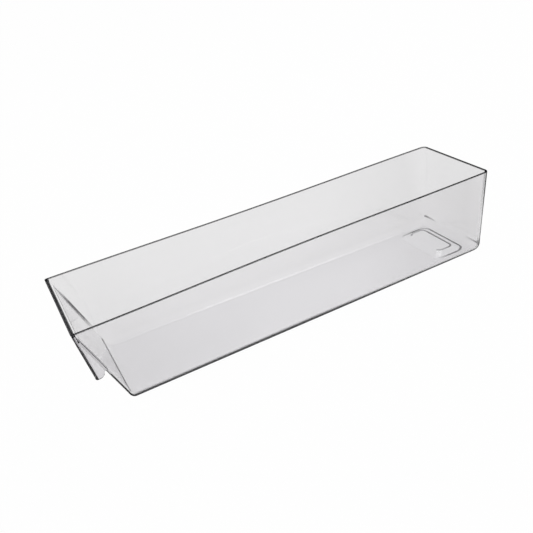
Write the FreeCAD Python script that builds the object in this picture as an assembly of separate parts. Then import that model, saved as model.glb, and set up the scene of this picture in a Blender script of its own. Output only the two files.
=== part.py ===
import FreeCAD, Part
import math
import os

from FreeCAD import Vector

# Clear fridge drawer bin: a long, narrow open bin with a sloping front, and a pull that hangs from the
# front rim. The whole bin is one thin-walled moulding. It is built here as that one moulding and then
# parted, face to face, into the pan, the walls, the raised pad and the pull that a person would name.
# The long side walls bow inwards a little between the stiff ends, so they are lofted on their own.
#
# Millimetres. +Z is up, the front and its pull face -Y, and the origin is at the middle of the underside.

# ---- driving dimensions -------------------------------------------------------------------------
LENGTH = 370.0            # front rim to back rim
FRONT_WIDTH = 107.0       # across the rim at the front
BACK_WIDTH = 94.0         # across the rim at the back
HEIGHT = 75.5             # underside to rim
WALL = 2.0                # thickness of every wall, of the floor and of the pull

FRONT_LEAN = 29.0         # how far the foot of the front wall lies behind the front rim
BACK_LEAN = 10.5          # how far the foot of the back wall lies in front of the back rim
SIDE_LEAN = 4.5           # how far the foot of each side wall lies inside its rim
SIDE_BOW = 2.6            # how far each side wall's rim bows inwards at the middle of the length

FLOOR_RADIUS = 9.0        # outside radius between the floor and the walls
BACK_CORNER = 5.0         # outside radius of the upright back corners
FRONT_CORNER = 3.2        # outside radius of the sloping front corners
RIM_ROUND = 0.5           # round on both edges of the rim

PULL_DROP = 44.0          # from the rim down to the lower edge of the pull
PULL_LEAN = 0.153         # run of the pull towards the bin for each millimetre of drop
PULL_CORNER = 1.6         # outside radius between the face of the pull and its cheeks
PULL_TIP_FRONT = 2.0      # round below the face of the pull
PULL_TIP_REAR = 5.5       # round of the cheeks, below and behind
PULL_HEEL = 0.3           # level step between that round and the front wall

PAD_LENGTH = 29.0         # foot of the raised pad in the rear floor, along the bin
PAD_WIDTH = 59.0          # foot of the pad, across the bin
PAD_RISE = 3.0            # how far the pad stands above the floor
PAD_SLOPE = 6.3           # how far each side of the pad leans in over that rise
PAD_CORNER = 16.0         # round of the four sloping corners of the pad
PAD_EDGE = 1.0            # inside round of the pad's foot and of its top; the outside rounds add the wall
PAD_TO_BACK = 34.5        # from the middle of the pad to the back rim
PAD_MARGIN = 1.0          # band of floor that is parted off with the pad
STRETCH_CORNER = 6.0      # plan radius of that band's corners

# ---- sizes that follow from them ----------------------------------------------------------------
FRONT_Y = -LENGTH / 2
BACK_Y = LENGTH / 2
PAD_Y = BACK_Y - PAD_TO_BACK
PULL_TIP_Z = HEIGHT - PULL_DROP
PAN_TOP = FLOOR_RADIUS + 1.0            # the pan takes in the whole of the floor radius
END_DEPTH = 1.5                         # straight wall parted off with an end beyond its corners' rounds
FRONT_DEPTH = FRONT_CORNER + END_DEPTH
BACK_DEPTH = BACK_CORNER + END_DEPTH
OVERCUT = 12.0                          # how far a cutting solid runs past what it cuts
PULL_CORNER_SHARE = 0.8                 # the most of a wall that the corner of the pull may take up
TIP_SHARE = 0.9                         # the most of the room behind the pull that its rear round may take up
REACH = FRONT_WIDTH / 2 + OVERCUT       # half the width of every cutting solid
BOW_STEPS = 8                           # points that shape each bowed edge, from end to end


# ---- faces of the bin ---------------------------------------------------------------------------
def across(thickness, lean):
    """Level thickness of a wall that leans out by lean over the height of the bin."""
    return thickness * math.hypot(1, lean / HEIGHT)


def side_x(y, z, inset=0):
    """Distance of a side wall's outer face, moved in by inset, from the middle plane."""
    along = (y - FRONT_Y) / LENGTH
    half_rim = (FRONT_WIDTH + (BACK_WIDTH - FRONT_WIDTH) * along) / 2
    return half_rim - SIDE_LEAN * (1 - z / HEIGHT) - across(inset, SIDE_LEAN)


def front_y(z, inset=0):
    """Where the front wall's outer face, moved in by inset, lies at height z."""
    return FRONT_Y + FRONT_LEAN * (1 - z / HEIGHT) + across(inset, FRONT_LEAN)


def back_y(z, inset=0):
    """Where the back wall's outer face, moved in by inset, lies at height z."""
    return BACK_Y - BACK_LEAN * (1 - z / HEIGHT) - across(inset, BACK_LEAN)


def pull_y(z, inset=0):
    """Where the outer face of the pull, moved in by inset, lies at height z."""
    return FRONT_Y + PULL_LEAN * (HEIGHT - z) + inset * math.hypot(1, PULL_LEAN)


def tip_start():
    """Where the front round of the tip runs out into its level underside."""
    return pull_y(PULL_TIP_Z + PULL_TIP_FRONT) + PULL_TIP_FRONT


def tip_rear():
    """Radius of the rear round of the tip, which ends a small step short of the front wall."""
    room = (front_y(PULL_TIP_Z) - PULL_HEEL - tip_start()) / (1 + FRONT_LEAN / HEIGHT)
    return min(PULL_TIP_REAR, TIP_SHARE * room)


# ---- solids to build and cut with ---------------------------------------------------------------
def plane_face(*corners):
    """A flat face through its corners."""
    return Part.Face(Part.makePolygon(list(corners) + [corners[0]]))


def channel(bottom_z, top_z, inset):
    """The space between the two flat side walls, longer than the bin at both ends."""

    def corner(sign, y, z):
        return Vector(sign * side_x(y, z, inset), y, z)

    near_y, far_y = FRONT_Y - OVERCUT, BACK_Y + OVERCUT
    low = [corner(1, near_y, bottom_z), corner(1, far_y, bottom_z),
           corner(-1, far_y, bottom_z), corner(-1, near_y, bottom_z)]
    high = [corner(1, near_y, top_z), corner(1, far_y, top_z),
            corner(-1, far_y, top_z), corner(-1, near_y, top_z)]
    walls = [plane_face(low[i], low[(i + 1) % 4], high[(i + 1) % 4], high[i]) for i in range(4)]
    return Part.Solid(Part.Shell(walls + [plane_face(*low), plane_face(*high)]))


def prism(side_view):
    """A closed side-view wire in the middle plane, carried across the whole width."""
    face = Part.Face(side_view)
    face.translate(Vector(-REACH, 0, 0))
    return face.extrude(Vector(2 * REACH, 0, 0))


def polygon(*points):
    """A closed side-view wire through (y, z) points."""
    corners = [Vector(0, y, z) for y, z in points]
    return Part.makePolygon(corners + corners[:1])


def level_edges(shape, z):
    """The edges that lie flat at one height."""
    return [e for e in shape.Edges if abs(e.BoundBox.ZMin - z) < 1e-4 and e.BoundBox.ZLength < 2e-4]


def rising_edges(shape, top_z, y_from, y_to):
    """The corner edges that run up to top_z within a stretch of the bin."""
    return [e for e in shape.Edges
            if abs(e.BoundBox.ZMax - top_z) < 1e-3 and e.BoundBox.ZLength > FLOOR_RADIUS
            and e.BoundBox.YMin > y_from and e.BoundBox.YMax < y_to]


# ---- the moulding -------------------------------------------------------------------------------
def outer_side_view():
    """Side view of the bin: down the pull, round its tip, down the front wall, along and up the back."""
    turn = math.sqrt(0.5)
    rear = tip_rear()
    heel_z = PULL_TIP_Z + rear
    flat_start = Vector(0, tip_start(), PULL_TIP_Z)
    face_end = flat_start + Vector(0, -PULL_TIP_FRONT, PULL_TIP_FRONT)
    root = Vector(0, front_y(heel_z), heel_z)
    heel = root - Vector(0, PULL_HEEL, 0)
    flat_end = heel - Vector(0, rear, rear)
    front_bend = Vector(0, flat_start.y - PULL_TIP_FRONT * turn, face_end.z - PULL_TIP_FRONT * turn)
    rear_bend = Vector(0, flat_end.y + rear * turn, heel.z - rear * turn)
    front_rim = Vector(0, FRONT_Y, HEIGHT)
    front_foot = Vector(0, front_y(0), 0)
    back_foot = Vector(0, back_y(0), 0)
    back_rim = Vector(0, BACK_Y, HEIGHT)
    return Part.Wire([Part.makeLine(front_rim, face_end),
                      Part.Arc(face_end, front_bend, flat_start).toShape(),
                      Part.makeLine(flat_start, flat_end),
                      Part.Arc(flat_end, rear_bend, heel).toShape(),
                      Part.makeLine(heel, root),
                      Part.makeLine(root, front_foot),
                      Part.makeLine(front_foot, back_foot),
                      Part.makeLine(back_foot, back_rim),
                      Part.makeLine(back_rim, front_rim)])


def outer_block():
    """The bin and its pull as one filled solid, rounded at the floor and at every corner."""
    block = prism(outer_side_view()).common(channel(0, HEIGHT, 0))
    block = block.makeFillet(FLOOR_RADIUS, level_edges(block, 0))
    block = block.makeFillet(BACK_CORNER, rising_edges(block, HEIGHT, 0, BACK_Y + 1))
    block = block.makeFillet(FRONT_CORNER, rising_edges(block, PULL_TIP_Z + tip_rear(), FRONT_Y, 0))
    block = block.makeFillet(min(PULL_CORNER, PULL_CORNER_SHARE * WALL), rising_edges(block, HEIGHT, FRONT_Y - 1, 0))
    return block.Solids[0]


def inner_block():
    """The space inside the bin, carried on above the rim."""
    top_z = HEIGHT + OVERCUT
    ends = prism(polygon((front_y(WALL, WALL), WALL), (back_y(WALL, WALL), WALL),
                         (back_y(top_z, WALL), top_z), (front_y(top_z, WALL), top_z)))
    block = ends.common(channel(WALL, top_z, WALL))
    block = block.makeFillet(FLOOR_RADIUS - WALL, level_edges(block, WALL))
    block = block.makeFillet(BACK_CORNER - WALL, rising_edges(block, top_z, 0, BACK_Y + OVERCUT))
    block = block.makeFillet(FRONT_CORNER - WALL, rising_edges(block, top_z, FRONT_Y - OVERCUT, 0))
    return block.Solids[0]


def finger_space():
    """The gap behind the pull, open below, between its cheeks and the front wall."""
    low_z = PULL_TIP_Z - OVERCUT
    high_z = HEIGHT - WALL * math.hypot(1, PULL_LEAN) / (FRONT_LEAN / HEIGHT - PULL_LEAN)
    gap = prism(polygon((pull_y(low_z, WALL), low_z), (front_y(low_z), low_z), (front_y(high_z), high_z)))
    return gap.common(channel(0, HEIGHT, WALL))


def moulding():
    """The whole bin in one piece, with flat side walls and without its pad."""
    shell = outer_block().cut(inner_block()).cut(finger_space())
    return shell.makeFillet(RIM_ROUND, level_edges(shell, HEIGHT)).Solids[0]


# ---- the side walls -----------------------------------------------------------------------------
def bowed_wall(sign):
    """One side wall between the two ends: flat at its foot, bowed inwards along its rim."""

    def edge(z, inset):
        start_y, end_y = front_y(z, FRONT_DEPTH), back_y(z, BACK_DEPTH)
        rise = (z - PAN_TOP) / (HEIGHT - PAN_TOP)
        points = []
        for step in range(BOW_STEPS + 1):
            along = step / BOW_STEPS
            y = start_y + (end_y - start_y) * along
            bow = SIDE_BOW * rise ** 2 * (1 - math.cos(2 * math.pi * along)) / 2
            points.append(Vector(sign * (side_x(y, z, inset) - bow), y, z))
        end_slope = points[-1] - points[0]
        curve = Part.BSplineCurve()
        curve.interpolate(Points=points, InitialTangent=end_slope, FinalTangent=end_slope)
        return curve.toShape()

    def outline(z):
        outer, inner = edge(z, 0), edge(z, WALL)
        ends = [Part.makeLine(outer.Vertexes[i].Point, inner.Vertexes[i].Point) for i in (0, 1)]
        return Part.Wire([outer, ends[1], inner, ends[0]])

    middle_z = (PAN_TOP + HEIGHT) / 2
    wall = Part.makeLoft([outline(PAN_TOP), outline(middle_z), outline(HEIGHT)], True)
    rim = [e for e in level_edges(wall, HEIGHT) if e.BoundBox.YLength > LENGTH / 2]
    return wall.makeFillet(RIM_ROUND, rim).Solids[0]


# ---- the pad ------------------------------------------------------------------------------------
def pad_form(foot_z, edge_round):
    """The raised form as a filled solid with sloping sides, rounded corners and a rounded top edge."""

    def ring(z, lean):
        half_width, half_length = PAD_WIDTH / 2 - lean, PAD_LENGTH / 2 - lean
        return [Vector(sx * half_width, PAD_Y + sy * half_length, z)
                for sx, sy in ((-1, -1), (1, -1), (1, 1), (-1, 1))]

    top_z = foot_z + PAD_RISE
    foot, top = ring(foot_z, 0), ring(top_z, PAD_SLOPE)
    sides = [plane_face(foot[i], foot[(i + 1) % 4], top[(i + 1) % 4], top[i]) for i in range(4)]
    form = Part.Solid(Part.Shell(sides + [plane_face(*foot), plane_face(*top)]))
    corners = [e for e in form.Edges if e.BoundBox.ZLength > PAD_RISE / 2]
    form = form.makeFillet(PAD_CORNER, corners)
    return form.makeFillet(edge_round, level_edges(form, top_z))


def pad_stretch(top_z):
    """The rounded stretch of floor that is parted off with the pad."""
    half_width, half_length = PAD_WIDTH / 2 + PAD_MARGIN, PAD_LENGTH / 2 + PAD_MARGIN
    plate = Part.makeBox(2 * half_width, 2 * half_length, top_z, Vector(-half_width, PAD_Y - half_length, 0))
    return plate.makeFillet(STRETCH_CORNER, [e for e in plate.Edges if e.BoundBox.ZLength > top_z / 2])


def pad_edges(shape, z):
    """The level edges of the form's foot, without those of the stretch of floor around it."""
    half_width = (PAD_WIDTH + PAD_MARGIN) / 2
    half_length = (PAD_LENGTH + PAD_MARGIN) / 2
    return [e for e in level_edges(shape, z)
            if max(-e.BoundBox.XMin, e.BoundBox.XMax) < half_width
            and max(PAD_Y - e.BoundBox.YMin, e.BoundBox.YMax - PAD_Y) < half_length]


def rear_pad():
    """The pad: raised above the floor, hollow from below, blended into the floor all round."""
    outside_round = PAD_EDGE + WALL
    pad = pad_stretch(WALL).fuse(pad_form(WALL, outside_round)).cut(pad_form(0, PAD_EDGE))
    pad = pad.makeFillet(PAD_EDGE, pad_edges(pad, WALL))
    return pad.makeFillet(outside_round, pad_edges(pad, 0)).Solids[0]


# ---- parting into named pieces ------------------------------------------------------------------
def part_by(shape, tool):
    """What lies inside the tool, and what lies outside it."""
    return shape.common(tool).Solids, shape.cut(tool).Solids


def only(solids):
    """The one solid that a cut leaves."""
    assert len(solids) == 1, "a piece came apart"
    return solids[0]


def beyond(face_y, inset, end_y):
    """Everything on the outer side of a leaning face, moved in by inset, at one end of the bin."""
    low_z, high_z = -OVERCUT, HEIGHT + OVERCUT
    far_y = end_y + math.copysign(2 * OVERCUT, end_y)
    return prism(polygon((face_y(low_z, inset), low_z), (face_y(high_z, inset), high_z),
                         (far_y, high_z), (far_y, low_z)))


def pieces():
    """Every named piece with its solid."""
    below = prism(polygon((FRONT_Y, -OVERCUT), (BACK_Y, -OVERCUT), (BACK_Y, PAN_TOP), (FRONT_Y, PAN_TOP)))
    pan, upper = part_by(moulding(), below)
    upper = only(upper)
    rear_wall = upper.common(beyond(back_y, BACK_DEPTH, BACK_Y)).Solids
    front = upper.common(beyond(front_y, FRONT_DEPTH, FRONT_Y)).Solids
    flap, front = part_by(only(front), beyond(pull_y, WALL, FRONT_Y))
    cheeks, front = part_by(only(front), beyond(front_y, 0, FRONT_Y))
    left_cheek, right_cheek = sorted(cheeks, key=lambda cheek: cheek.CenterOfMass.x)
    return {"bottom_pan": only(only(pan).cut(pad_stretch(WALL)).Solids),
            "rear_pad": rear_pad(),
            "left_wall": bowed_wall(-1),
            "right_wall": bowed_wall(1),
            "rear_wall": only(rear_wall),
            "front_wall": only(front),
            "pull_flap": only(flap),
            "left_cheek": left_cheek,
            "right_cheek": right_cheek}


os.makedirs("parts", exist_ok=True)
for node, solid in pieces().items():
    solid.exportStep("parts/" + node + ".step")
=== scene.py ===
import bpy
import math
from mathutils import Euler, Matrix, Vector

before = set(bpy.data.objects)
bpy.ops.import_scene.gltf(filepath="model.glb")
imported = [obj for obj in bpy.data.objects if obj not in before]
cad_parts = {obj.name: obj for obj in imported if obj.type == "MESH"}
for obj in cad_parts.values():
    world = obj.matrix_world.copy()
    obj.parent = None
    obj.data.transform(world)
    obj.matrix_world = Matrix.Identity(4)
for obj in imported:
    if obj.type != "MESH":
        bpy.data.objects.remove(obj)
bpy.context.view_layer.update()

# The bin's own sizes in millimetres, as far as its finishes need them. X runs across the bin, Y from its
# front rim to its back rim, and Z up from its foot.
HEIGHT = 75.5
FRONT_Y, BACK_Y = -185.0, 185.0
FRONT_LEAN, BACK_LEAN, SIDE_LEAN = 29.0, 10.5, 4.5  # how far each wall leans out over the height
FRONT_HALF, BACK_HALF = 53.5, 47.0  # half the width of the rim at its front and its back
WALL = 2.0
PAN_TOP = 10.0
FLOOR_RADIUS = 9.0
FRONT_DEPTH, BACK_DEPTH = 4.7, 6.5  # how much of the corners belongs to each end wall
PULL_LEAN = 0.153  # as a share of its height
PULL_TIP_Z = HEIGHT - 44.0
PULL_ROOT = (HEIGHT - 8.7, HEIGHT - 2.2)  # the heights between which the pull is solid with the wall
PAD_Y, PAD_HALF_X, PAD_HALF_Y, PAD_ROUND = 150.5, 30.5, 15.5, 6.0  # the region that holds the raised pad
PAD_MARGIN = 1.0  # from the edge of that region to the foot of the pad
PAD_RISE, PAD_SLOPE = 3.0, 6.3  # the pad's height, and how far each of its sides leans in

MM = 1000.0  # millimetres in a metre
TAPER = (BACK_HALF - FRONT_HALF) / (BACK_Y - FRONT_Y)
FOOT_HALF = FRONT_HALF - FRONT_Y * TAPER - SIDE_LEAN  # half the width of the foot where y is 0
FRONT_SQUARE = 1.0 / math.hypot(1.0, FRONT_LEAN / HEIGHT)  # turns a level depth square to the front wall
PAD_FOOT_X, PAD_FOOT_Y = PAD_HALF_X - PAD_MARGIN, PAD_HALF_Y - PAD_MARGIN

# The plastic's colours, and how much light it holds back.
CLEAR_TINT = (0.985, 0.98, 0.985, 1.0)
# The next tint is painted shade: the darker grey that the ends and the painted patches of reflection are
# mixed towards.
PAINTED_SHADE_TINT = (0.885, 0.88, 0.885, 1.0)
PULL_TINT = (0.87, 0.86, 0.875, 1.0)
# Black for the painted shade along the edges.
PAINTED_SHADE_BLACK = (0.012, 0.012, 0.014, 1.0)
# A light grey for the painted light on the ends of the front wall.
PAINTED_LIGHT_GREY = (0.72, 0.71, 0.73, 1.0)
VEIL_TINT = (0.98, 0.98, 0.985, 1.0)
HELD_BACK_TINT, HELD_BACK = (0.03, 0.0, 0.07, 1.0), 6.0
PLASTIC_IOR = 1.5


# ---- shader maths -----------------------------------------------------------------------------------
class Value:
    """A number that varies over a surface. Sums and products of it add Math nodes."""

    def __init__(self, shader, socket):
        self.shader, self.socket = shader, socket

    def math(self, operation, *others):
        return self.shader.math(operation, self, *others)

    def __add__(self, other):
        return self.math("ADD", other)

    def __radd__(self, other):
        return self.math("ADD", other)

    def __sub__(self, other):
        return self.math("SUBTRACT", other)

    def __rsub__(self, other):
        return self.shader.math("SUBTRACT", other, self)

    def __mul__(self, other):
        return self.math("MULTIPLY", other)

    def __rmul__(self, other):
        return self.math("MULTIPLY", other)

    def __abs__(self):
        return self.math("ABSOLUTE")

    def __lt__(self, other):
        return self.math("LESS_THAN", other)

    def __gt__(self, other):
        return self.math("GREATER_THAN", other)

    def most(self, *others):
        """The largest of this and the others."""
        value = self
        for other in others:
            value = value.math("MAXIMUM", other)
        return value

    def least(self, *others):
        """The smallest of this and the others."""
        value = self
        for other in others:
            value = value.math("MINIMUM", other)
        return value

    def within(self, low, high):
        """1 between two bounds, 0 outside them."""
        return (self > low) * (self < high)

    def near(self, middle, reach):
        """1 closer than reach to a middle, 0 elsewhere."""
        return abs(self - middle) < reach

    def step(self, low, high):
        """An even ramp from 0 at low to 1 at high."""
        return ((self - low) * (1.0 / (high - low))).most(0.0).least(1.0)

    def fade(self, low, high):
        """An even ramp from 1 at low to 0 at high."""
        return 1 - self.step(low, high)


class Shader:
    """One node material or world."""

    def __init__(self, owner):
        owner.use_nodes = True
        self.tree = owner.node_tree
        self.tree.nodes.clear()

    def node(self, kind, settings=None, **inputs):
        """Add a node, apply its settings, then fill its sockets by name or by number."""
        node = self.tree.nodes.new(kind)
        for name, value in (settings or {}).items():
            setattr(node, name, value)
        for name, value in inputs.items():
            socket = node.inputs[int(name[1:])] if name[0] == "_" else node.inputs[name.replace("_", " ")]
            if isinstance(value, Value):
                value = value.socket
            if isinstance(value, bpy.types.NodeSocket):
                self.tree.links.new(value, socket)
            else:
                socket.default_value = value
        return node

    def math(self, operation, *terms):
        sockets = {"_%d" % index: term for index, term in enumerate(terms)}
        return Value(self, self.node("ShaderNodeMath", {"operation": operation}, **sockets).outputs[0])

    def value(self, kind, output, **inputs):
        """One output of a new node, as a Value."""
        return Value(self, self.node(kind, **inputs).outputs[output])

    def rays(self, *kinds):
        """For each kind of ray, a Value that is 1 for such rays and 0 for others."""
        light_path = self.node("ShaderNodeLightPath")
        return [Value(self, light_path.outputs["Is %s Ray" % kind]) for kind in kinds]

    def place(self):
        """The three Object coordinates in millimetres."""
        coordinates = self.node("ShaderNodeTexCoord").outputs["Object"]
        split = self.node("ShaderNodeSeparateXYZ", _0=coordinates)
        return [Value(self, split.outputs[axis]) * MM for axis in range(3)]

    def noise(self, scale, detail=2.0, stretch=(1.0, 1.0, 1.0)):
        coordinates = self.node("ShaderNodeTexCoord").outputs["Object"]
        mapped = self.node("ShaderNodeMapping", Vector=coordinates, Scale=stretch).outputs[0]
        return self.value("ShaderNodeTexNoise", 0, Vector=mapped, Scale=scale, Detail=detail)

    def colour(self, factor, first, second):
        return self.node("ShaderNodeMix", {"data_type": "RGBA"}, _0=factor, _6=first, _7=second).outputs[2]

    def matt(self, colour):
        return self.node("ShaderNodeBsdfDiffuse", Color=colour).outputs[0]

    def see_through(self, colour=(1.0, 1.0, 1.0, 1.0)):
        return self.node("ShaderNodeBsdfTransparent", Color=colour).outputs[0]

    def mix(self, factor, first, second):
        return self.node("ShaderNodeMixShader", _0=factor, _1=first, _2=second).outputs[0]


# ---- places on the bin ------------------------------------------------------------------------------
class Place:
    """Where a point of the plastic lies in millimetres, how deep it is, and how its surface is turned."""

    def __init__(self, shader):
        self.x, self.y, self.z = shader.place()
        rise = self.z * (1.0 / HEIGHT)
        # How deep the point lies behind the outer face of its side, the back, the front and the pull.
        self.from_side = self.y * TAPER + FOOT_HALF + rise * SIDE_LEAN - abs(self.x)
        self.from_back = (BACK_Y - BACK_LEAN) + rise * BACK_LEAN - self.y
        self.from_front = self.y + rise * FRONT_LEAN - (FRONT_Y + FRONT_LEAN)
        self.from_pull = self.y + self.z * PULL_LEAN - (FRONT_Y + PULL_LEAN * HEIGHT)
        self.depth = self.from_side.least(self.from_back, self.from_front * FRONT_SQUARE)
        self.in_pad = (PAD_FOOT_X - abs(self.x)).least(PAD_FOOT_Y - abs(self.y - PAD_Y))
        # 0 where the surface is seen square on, 1 where it is seen edge-on.
        self.graze = shader.value("ShaderNodeLayerWeight", "Facing", Blend=0.5)
        self.outside = 1 - shader.value("ShaderNodeNewGeometry", "Backfacing")

    def off_oblong(self, half_x, half_y, corner):
        """How far a point lies outside a rounded oblong about the pad's middle, negative inside it."""
        reach_x = abs(self.x) - (half_x - corner)
        reach_y = abs(self.y - PAD_Y) - (half_y - corner)
        over_x, over_y = reach_x.most(0.0), reach_y.most(0.0)
        off_corner = (over_x * over_x + over_y * over_y).math("SQRT") - corner
        return off_corner + reach_x.most(reach_y).least(0.0)


def across(thickness, lean):
    """Level thickness of a wall that leans out by lean over the height of the bin."""
    return thickness * math.hypot(1, lean / HEIGHT)


# ---- faces that light passes without bending --------------------------------------------------------
ON_PLANE = 0.002  # a point this close to a flat face is on it
ON_ROUND = 0.02  # the same for a rounded face, which is made of facets


def parting_faces(at):
    """1 on the faces where one region of the moulding passes into the next, 0 elsewhere."""
    pull_wall = WALL * math.hypot(1, PULL_LEAN)
    pocket_top = HEIGHT - pull_wall / (FRONT_LEAN / HEIGHT - PULL_LEAN)
    in_cheek = at.from_side < across(WALL, SIDE_LEAN)
    pan = at.z.near(PAN_TOP, ON_PLANE)
    front_end = at.from_front.near(across(FRONT_DEPTH, FRONT_LEAN), ON_PLANE)
    back_end = at.from_back.near(across(BACK_DEPTH, BACK_LEAN), ON_PLANE)
    flap = at.from_pull.near(pull_wall, ON_PLANE) * in_cheek.most(at.z > pocket_top)
    cheek = at.from_front.near(0.0, ON_PLANE) * in_cheek * (at.z < pocket_top)
    pad = at.off_oblong(PAD_HALF_X, PAD_HALF_Y, PAD_ROUND).near(0.0, ON_ROUND)
    return pan.most(front_end, back_end, flap, cheek, pad)


PAD_SKIN = 1.0  # halfway through the floor, between the pad's underside and its upper side
ON_PULL = 0.1


def underside_and_root(at):
    """1 on the pad's underside and on the face of the pull's solid root, 0 elsewhere."""
    pad_lift = at.in_pad.step(0.0, PAD_SLOPE) * PAD_RISE
    underside = (at.in_pad > 0.0) * (at.z < pad_lift + PAD_SKIN)
    root = at.from_pull.near(0.0, ON_PULL) * at.z.within(*PULL_ROOT)
    return underside.most(root)


# ---- dark lines of painted shade --------------------------------------------------------------------
# Light that runs on inside the plastic leaves its edges dark, and these lines paint that shade on. Each line
# is a zone of the skin, in millimetres, and its _DARK is its strength. A _GRAZE is the range of at.graze
# over which a line appears.
RIM_BAND, RIM_DARK = 0.7, 0.75
LIP_ZONE, LIP_DROP = (FRONT_Y + 0.5, FRONT_Y + 3.3), 2.2


def rim_lines(at):
    """Painted shade on the top of the whole rim, and on the outer lip of the front rim."""
    top = (at.z > HEIGHT - RIM_BAND) * RIM_DARK
    lip = at.y.within(*LIP_ZONE) * (at.z > HEIGHT - LIP_DROP)
    return top.most(lip)


FOOT_SKIN, FOOT_TOP, FOOT_REACH = 0.8, 8.0, 5.0
FOOT_GRAZE, FOOT_SIDE_GRAZE = (0.75, 0.95), (0.28, 0.48)
FOOT_DRIFT = 0.25  # how much less of the sides' rounds is dark at the back end than in the middle


def foot_line(at):
    """Painted shade on the outer round along the foot of all four walls."""
    low, deep = FLOOR_RADIUS - at.z, FLOOR_RADIUS - at.depth
    on_round = (low * low + deep * deep).math("SQRT") > FLOOR_RADIUS - FOOT_SKIN
    drift = at.y.step(0.0, BACK_Y) * FOOT_DRIFT
    side = (at.graze - drift).step(*FOOT_SIDE_GRAZE) * (at.from_side < FOOT_REACH)
    return on_round * (at.z < FOOT_TOP) * (at.depth < FOOT_REACH) * side.most(at.graze.step(*FOOT_GRAZE))


CORNER_REACH, CORNER_GRAZE = 4.2, (0.3, 0.6)
CORNER_TOP, CORNER_FOOT, CORNER_LEAST = (25.0, 60.0), (11.0, 15.0), 0.2
SIDE_SKIN = 1.9  # just less than a wall, so that only its outer face is darkened
BAND_EDGE, BAND_RISE, BAND_DARK = (2.6, 7.0), (40.0, 76.0), 0.7
DASH_MIDDLE, DASH_EDGE, DASH_DARK = 4.0, (0.4, 2.4), 0.7
DASH_START, DASH_END = (5.5, 8.5), (11.0, 15.0)


def back_corner_lines(at):
    """Painted shade on the upright back corners: a thin line, with a soft band below the rim and a dash
    above the foot.
    """
    line = (at.from_side < CORNER_REACH) * (at.from_back < CORNER_REACH) * at.graze.step(*CORNER_GRAZE)
    line = line * at.z.step(*CORNER_TOP).most(at.z.fade(*CORNER_FOOT), CORNER_LEAST)
    band = at.from_back.fade(*BAND_EDGE) * at.z.step(*BAND_RISE) * BAND_DARK
    dash = abs(at.from_back - DASH_MIDDLE).fade(*DASH_EDGE) * at.z.step(*DASH_START) * at.z.fade(*DASH_END)
    return line.most((at.from_side < SIDE_SKIN) * band.most(dash * DASH_DARK))


FRONT_CORNER_SIDE, FRONT_CORNER_FRONT = (2.3, 0.8), (2.4, 1.0)
FRONT_CORNER_START, FRONT_CORNER_END, FRONT_CORNER_DARK = (18.0, 32.0), (50.0, 64.0), 0.8


def front_corner_lines(at):
    """Painted shade on the inner edges between the front wall and the sides, fading towards their ends."""
    corner = at.from_side.near(*FRONT_CORNER_SIDE) * at.from_front.near(*FRONT_CORNER_FRONT)
    return corner * at.z.step(*FRONT_CORNER_START) * at.z.fade(*FRONT_CORNER_END) * FRONT_CORNER_DARK


BACK_FOLD_REACH, BACK_FOLD_ZONE, BACK_FOLD_RUN, BACK_FOLD_DARK = 3.0, (7.0, 8.8), (4.0, 22.0), 0.8
FRONT_FOLD_REACH, FRONT_FOLD_ZONE, FRONT_FOLD_START, FRONT_FOLD_DARK = 3.4, (7.3, 10.3), 3.2, 0.85


def fold_lines(at):
    """Painted shade where the floor's round meets the front wall, and the back wall near its corners."""
    back = (at.from_back < BACK_FOLD_REACH) * at.z.within(*BACK_FOLD_ZONE)
    front = (at.from_front < FRONT_FOLD_REACH) * at.z.within(*FRONT_FOLD_ZONE)
    back = back * at.from_side.fade(*BACK_FOLD_RUN) * BACK_FOLD_DARK
    front = front * (at.from_side > FRONT_FOLD_START) * FRONT_FOLD_DARK
    return back.most(front)


IN_PULL = -0.2  # in front of the front wall's outer face, where only the pull is
HEM_ZONE, HEM_DARK = (PULL_TIP_Z - 0.2, PULL_TIP_Z + 0.9), 0.6


def pull_hem(at):
    """Painted shade on the lower edge of the pull."""
    return (at.from_front < IN_PULL) * at.z.within(*HEM_ZONE) * HEM_DARK


PAD_FOOT = (PAD_FOOT_X, PAD_FOOT_Y, 8.0)
PAD_TOP = (PAD_FOOT_X - PAD_SLOPE, PAD_FOOT_Y - PAD_SLOPE, 5.0)
PAD_FOOT_LINE, PAD_FOOT_ZONE, PAD_FOOT_RUN = (0.6, 0.9), (1.9, 2.6), (PAD_Y - 14.0, PAD_Y - 1.0)
PAD_TOP_LINE, PAD_TOP_START, PAD_TOP_RUN = (-0.7, 0.9), 4.6, (PAD_Y - 6.0, PAD_Y + 3.0)
PAD_END_START, PAD_END_SHARE = 19.5, 0.7
PAD_DARK = 0.85


def pad_lines(at):
    """Painted shade on the pad's foot and its top edge, on the back half and round the two short sides."""
    foot = at.off_oblong(*PAD_FOOT).near(*PAD_FOOT_LINE) * at.z.within(*PAD_FOOT_ZONE)
    top = at.off_oblong(*PAD_TOP).near(*PAD_TOP_LINE) * (at.z > PAD_TOP_START)
    top_run = at.y.step(*PAD_TOP_RUN).most((abs(at.x) > PAD_END_START) * PAD_END_SHARE)
    return (foot * at.y.step(*PAD_FOOT_RUN)).most(top * top_run) * PAD_DARK


def painted_shade_lines(at):
    """How much painted shade darkens the edges, where the surface is met from outside the plastic."""
    corners = back_corner_lines(at).most(front_corner_lines(at))
    lines = rim_lines(at).most(foot_line(at), corners, fold_lines(at), pull_hem(at), pad_lines(at))
    return lines * at.outside


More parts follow.
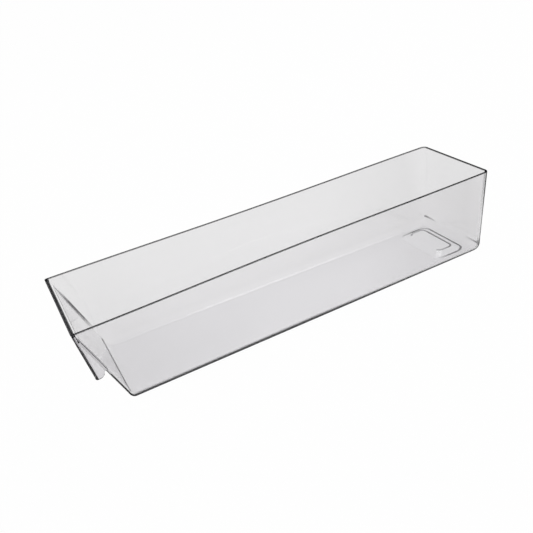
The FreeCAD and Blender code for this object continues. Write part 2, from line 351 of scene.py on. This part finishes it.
# ---- the plastic ------------------------------------------------------------------------------------
PAINTED_SHADE_STRENGTH = 0.9
LIT_SIDE, LIT_DEPTH, LIT_DROP, LIT_STRENGTH = 0.8, (0.25, 1.9), 8.0, 0.8
END_SHADE_MIDDLE, END_SHADE_REACH = -30.0, 215.0  # where the painted end shade is lightest, and how far from there it is darkest
END_SHADE_START, END_SHADE_END, END_SHADE_DROP = (-182.0, -140.0), (160.0, 176.0), 0.6
REFLECTION_PATCH_SCALE, REFLECTION_PATCH_STRETCH, REFLECTION_PATCH_STRENGTH = 10.0, (1.0, 0.4, 1.0), 1.1
PULL_TINT_DROP = 3.0
HAZE_SCALE, HAZE_ROUGHNESS, LEAST_ROUGHNESS = 11.0, 0.05, 0.01
BUMP_SCALE, BUMP_STRENGTH, BUMP_HEIGHT = 16.0, 0.2, 0.0004


def tint_with_painted_shade(shader, at):
    """Painted shade, darker towards both ends, with painted soft patches of reflection, and greyest on the
    pull.
    """
    ends = abs(at.y - END_SHADE_MIDDLE) * (1.0 / END_SHADE_REACH)
    # Painted shade towards both ends, and painted soft patches of reflection.
    painted_end_shade = ends * ends * at.y.step(*END_SHADE_START) * (1 - at.y.step(*END_SHADE_END) * END_SHADE_DROP)
    painted_reflection_patches = (shader.noise(REFLECTION_PATCH_SCALE, 1.0, REFLECTION_PATCH_STRETCH) - 0.5) * REFLECTION_PATCH_STRENGTH
    tint = shader.colour((painted_end_shade + painted_reflection_patches).most(0.0).least(1.0), CLEAR_TINT, PAINTED_SHADE_TINT)
    return shader.colour((at.from_front < IN_PULL) * (at.z < HEIGHT - PULL_TINT_DROP), tint, PULL_TINT)


def painted_light_on_ends(at):
    """1 on the ends of the front wall, which get painted light standing for the light from within where the
    pull's cheeks join them.
    """
    end = (at.from_side < LIT_SIDE) * at.from_front.within(*LIT_DEPTH)
    return end * at.z.within(PULL_TIP_Z, HEIGHT - LIT_DROP)


def clear_plastic(name):
    """Clear, faintly grey moulded plastic, with painted shade along its edges and towards its ends, and
    painted light on the front wall's ends.
    """
    material = bpy.data.materials.new(name)
    shader = Shader(material)
    at = Place(shader)
    bump = shader.node("ShaderNodeBump", Strength=BUMP_STRENGTH, Distance=BUMP_HEIGHT,
                       Height=shader.noise(BUMP_SCALE, 1.0)).outputs[0]
    roughness = shader.noise(HAZE_SCALE) * HAZE_ROUGHNESS + LEAST_ROUGHNESS
    surface = shader.node("ShaderNodeBsdfPrincipled", Base_Color=tint_with_painted_shade(shader, at), Roughness=roughness,
                          IOR=PLASTIC_IOR, Transmission_Weight=1.0, Normal=bump).outputs[0]
    # Painted shade: black mixed over the plastic along its edges.
    surface = shader.mix(painted_shade_lines(at) * PAINTED_SHADE_STRENGTH, surface, shader.matt(PAINTED_SHADE_BLACK))
    # Painted light: a light grey mixed over the ends of the front wall.
    surface = shader.mix(painted_light_on_ends(at) * LIT_STRENGTH, surface, shader.matt(PAINTED_LIGHT_GREY))
    unbent = parting_faces(at).most(underside_and_root(at))
    surface = shader.mix(unbent, surface, shader.see_through())
    # Lamps and the floor see a thin veil, so that the bin's shadow stays faint.
    shadow_ray, diffuse_ray = shader.rays("Shadow", "Diffuse")
    surface = shader.mix(shadow_ray.most(diffuse_ray), surface, shader.see_through(VEIL_TINT))
    inside = shader.node("ShaderNodeVolumeAbsorption", Color=HELD_BACK_TINT, Density=HELD_BACK).outputs[0]
    shader.node("ShaderNodeOutputMaterial", Surface=surface, Volume=inside)
    return material


plastic = clear_plastic("clear_moulded_plastic")
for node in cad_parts.values():
    for slot in node.material_slots:
        slot.material = plastic

# ---- floor, light and camera ------------------------------------------------------------------------
WHITE = (1.0, 1.0, 1.0, 1.0)
FLOOR_SIZE, FLOOR_DROP = 12.0, 0.0002
FLOOR_GREY = (0.7, 0.7, 0.7, 1.0)
FLOOR_SEEN, FLOOR_THROUGH = 0.97, 0.15  # how white the floor is to the camera, and through the plastic
ROOM_THROUGH = 0.6  # how white the room is through the plastic
ROOM_DARK, ROOM_DARK_UP_TO, ROOM_WHITE_FROM = (0.05, 0.05, 0.055, 1.0), 0.25, 0.75
KEY_PLACE, KEY_AIM, KEY_SIZE, KEY_ENERGY = (-0.5, 0.4, 1.2), (0.0, 0.0, 0.03), 0.6, 3.0
CAMERA_PLACE, CAMERA_TURN = (0.53501, -0.20311, 0.33869), (61.8695, 10.4739, 64.9254)
CAMERA_SENSOR, CAMERA_LENS, CAMERA_NEAREST = 36.0, 51.226, 0.01
CAMERA_SHIFT = (0.0009, -0.00094)


def pale_floor():
    """A pale grey floor that looks white to the camera and keeps the bin's faint shadow."""
    material = bpy.data.materials.new("pale_floor")
    shader = Shader(material)
    camera_ray, through_ray, glossy_ray = shader.rays("Camera", "Transmission", "Glossy")
    seen = (camera_ray * FLOOR_SEEN).most(through_ray.most(glossy_ray) * FLOOR_THROUGH)
    white = shader.node("ShaderNodeEmission", Color=WHITE, Strength=1.0).outputs[0]
    shader.node("ShaderNodeOutputMaterial", Surface=shader.mix(seen, shader.matt(FLOOR_GREY), white))
    return material


def studio_room():
    """A white room whose reflections are dark low down and white overhead."""
    world = bpy.data.worlds.new("studio")
    shader = Shader(world)
    direction = shader.node("ShaderNodeTexCoord").outputs["Generated"]
    ramp = shader.node("ShaderNodeValToRGB", _0=shader.value("ShaderNodeSeparateXYZ", 2, _0=direction))
    low, high = ramp.color_ramp.elements
    low.position, low.color = ROOM_DARK_UP_TO, ROOM_DARK
    high.position, high.color = ROOM_WHITE_FROM, WHITE
    mirrored = shader.node("ShaderNodeBackground", Color=ramp.outputs[0], Strength=1.0).outputs[0]
    white = shader.node("ShaderNodeBackground", Color=WHITE, Strength=1.0).outputs[0]
    camera_ray, diffuse_ray, through_ray = shader.rays("Camera", "Diffuse", "Transmission")
    whiteness = camera_ray.most(diffuse_ray, through_ray * ROOM_THROUGH)
    shader.node("ShaderNodeOutputWorld", Surface=shader.mix(whiteness, mirrored, white))
    return world


def set_up(name, data, place, turn):
    """Put a lamp or a camera in the scene."""
    holder = bpy.data.objects.new(name, data)
    bpy.context.scene.collection.objects.link(holder)
    holder.location, holder.rotation_euler = place, turn
    return holder


bpy.ops.object.select_all(action="DESELECT")
bpy.ops.mesh.primitive_plane_add(size=FLOOR_SIZE, location=(0, 0, -FLOOR_DROP))
floor = bpy.context.object
floor.name = "floor"
floor.data.materials.append(pale_floor())
bpy.context.scene.world = studio_room()

softbox = bpy.data.lights.new("key_softbox", "AREA")
softbox.shape, softbox.size, softbox.energy = "SQUARE", KEY_SIZE, KEY_ENERGY
key_turn = (Vector(KEY_AIM) - Vector(KEY_PLACE)).to_track_quat("-Z", "Y").to_euler()
set_up("key_softbox", softbox, KEY_PLACE, key_turn)

camera = bpy.data.cameras.new("camera")
camera.sensor_width, camera.lens, camera.clip_start = CAMERA_SENSOR, CAMERA_LENS, CAMERA_NEAREST
camera.shift_x, camera.shift_y = CAMERA_SHIFT
camera_turn = Euler([math.radians(angle) for angle in CAMERA_TURN])
bpy.context.scene.camera = set_up("camera", camera, CAMERA_PLACE, camera_turn)
bpy.context.scene.view_settings.view_transform = "Standard"
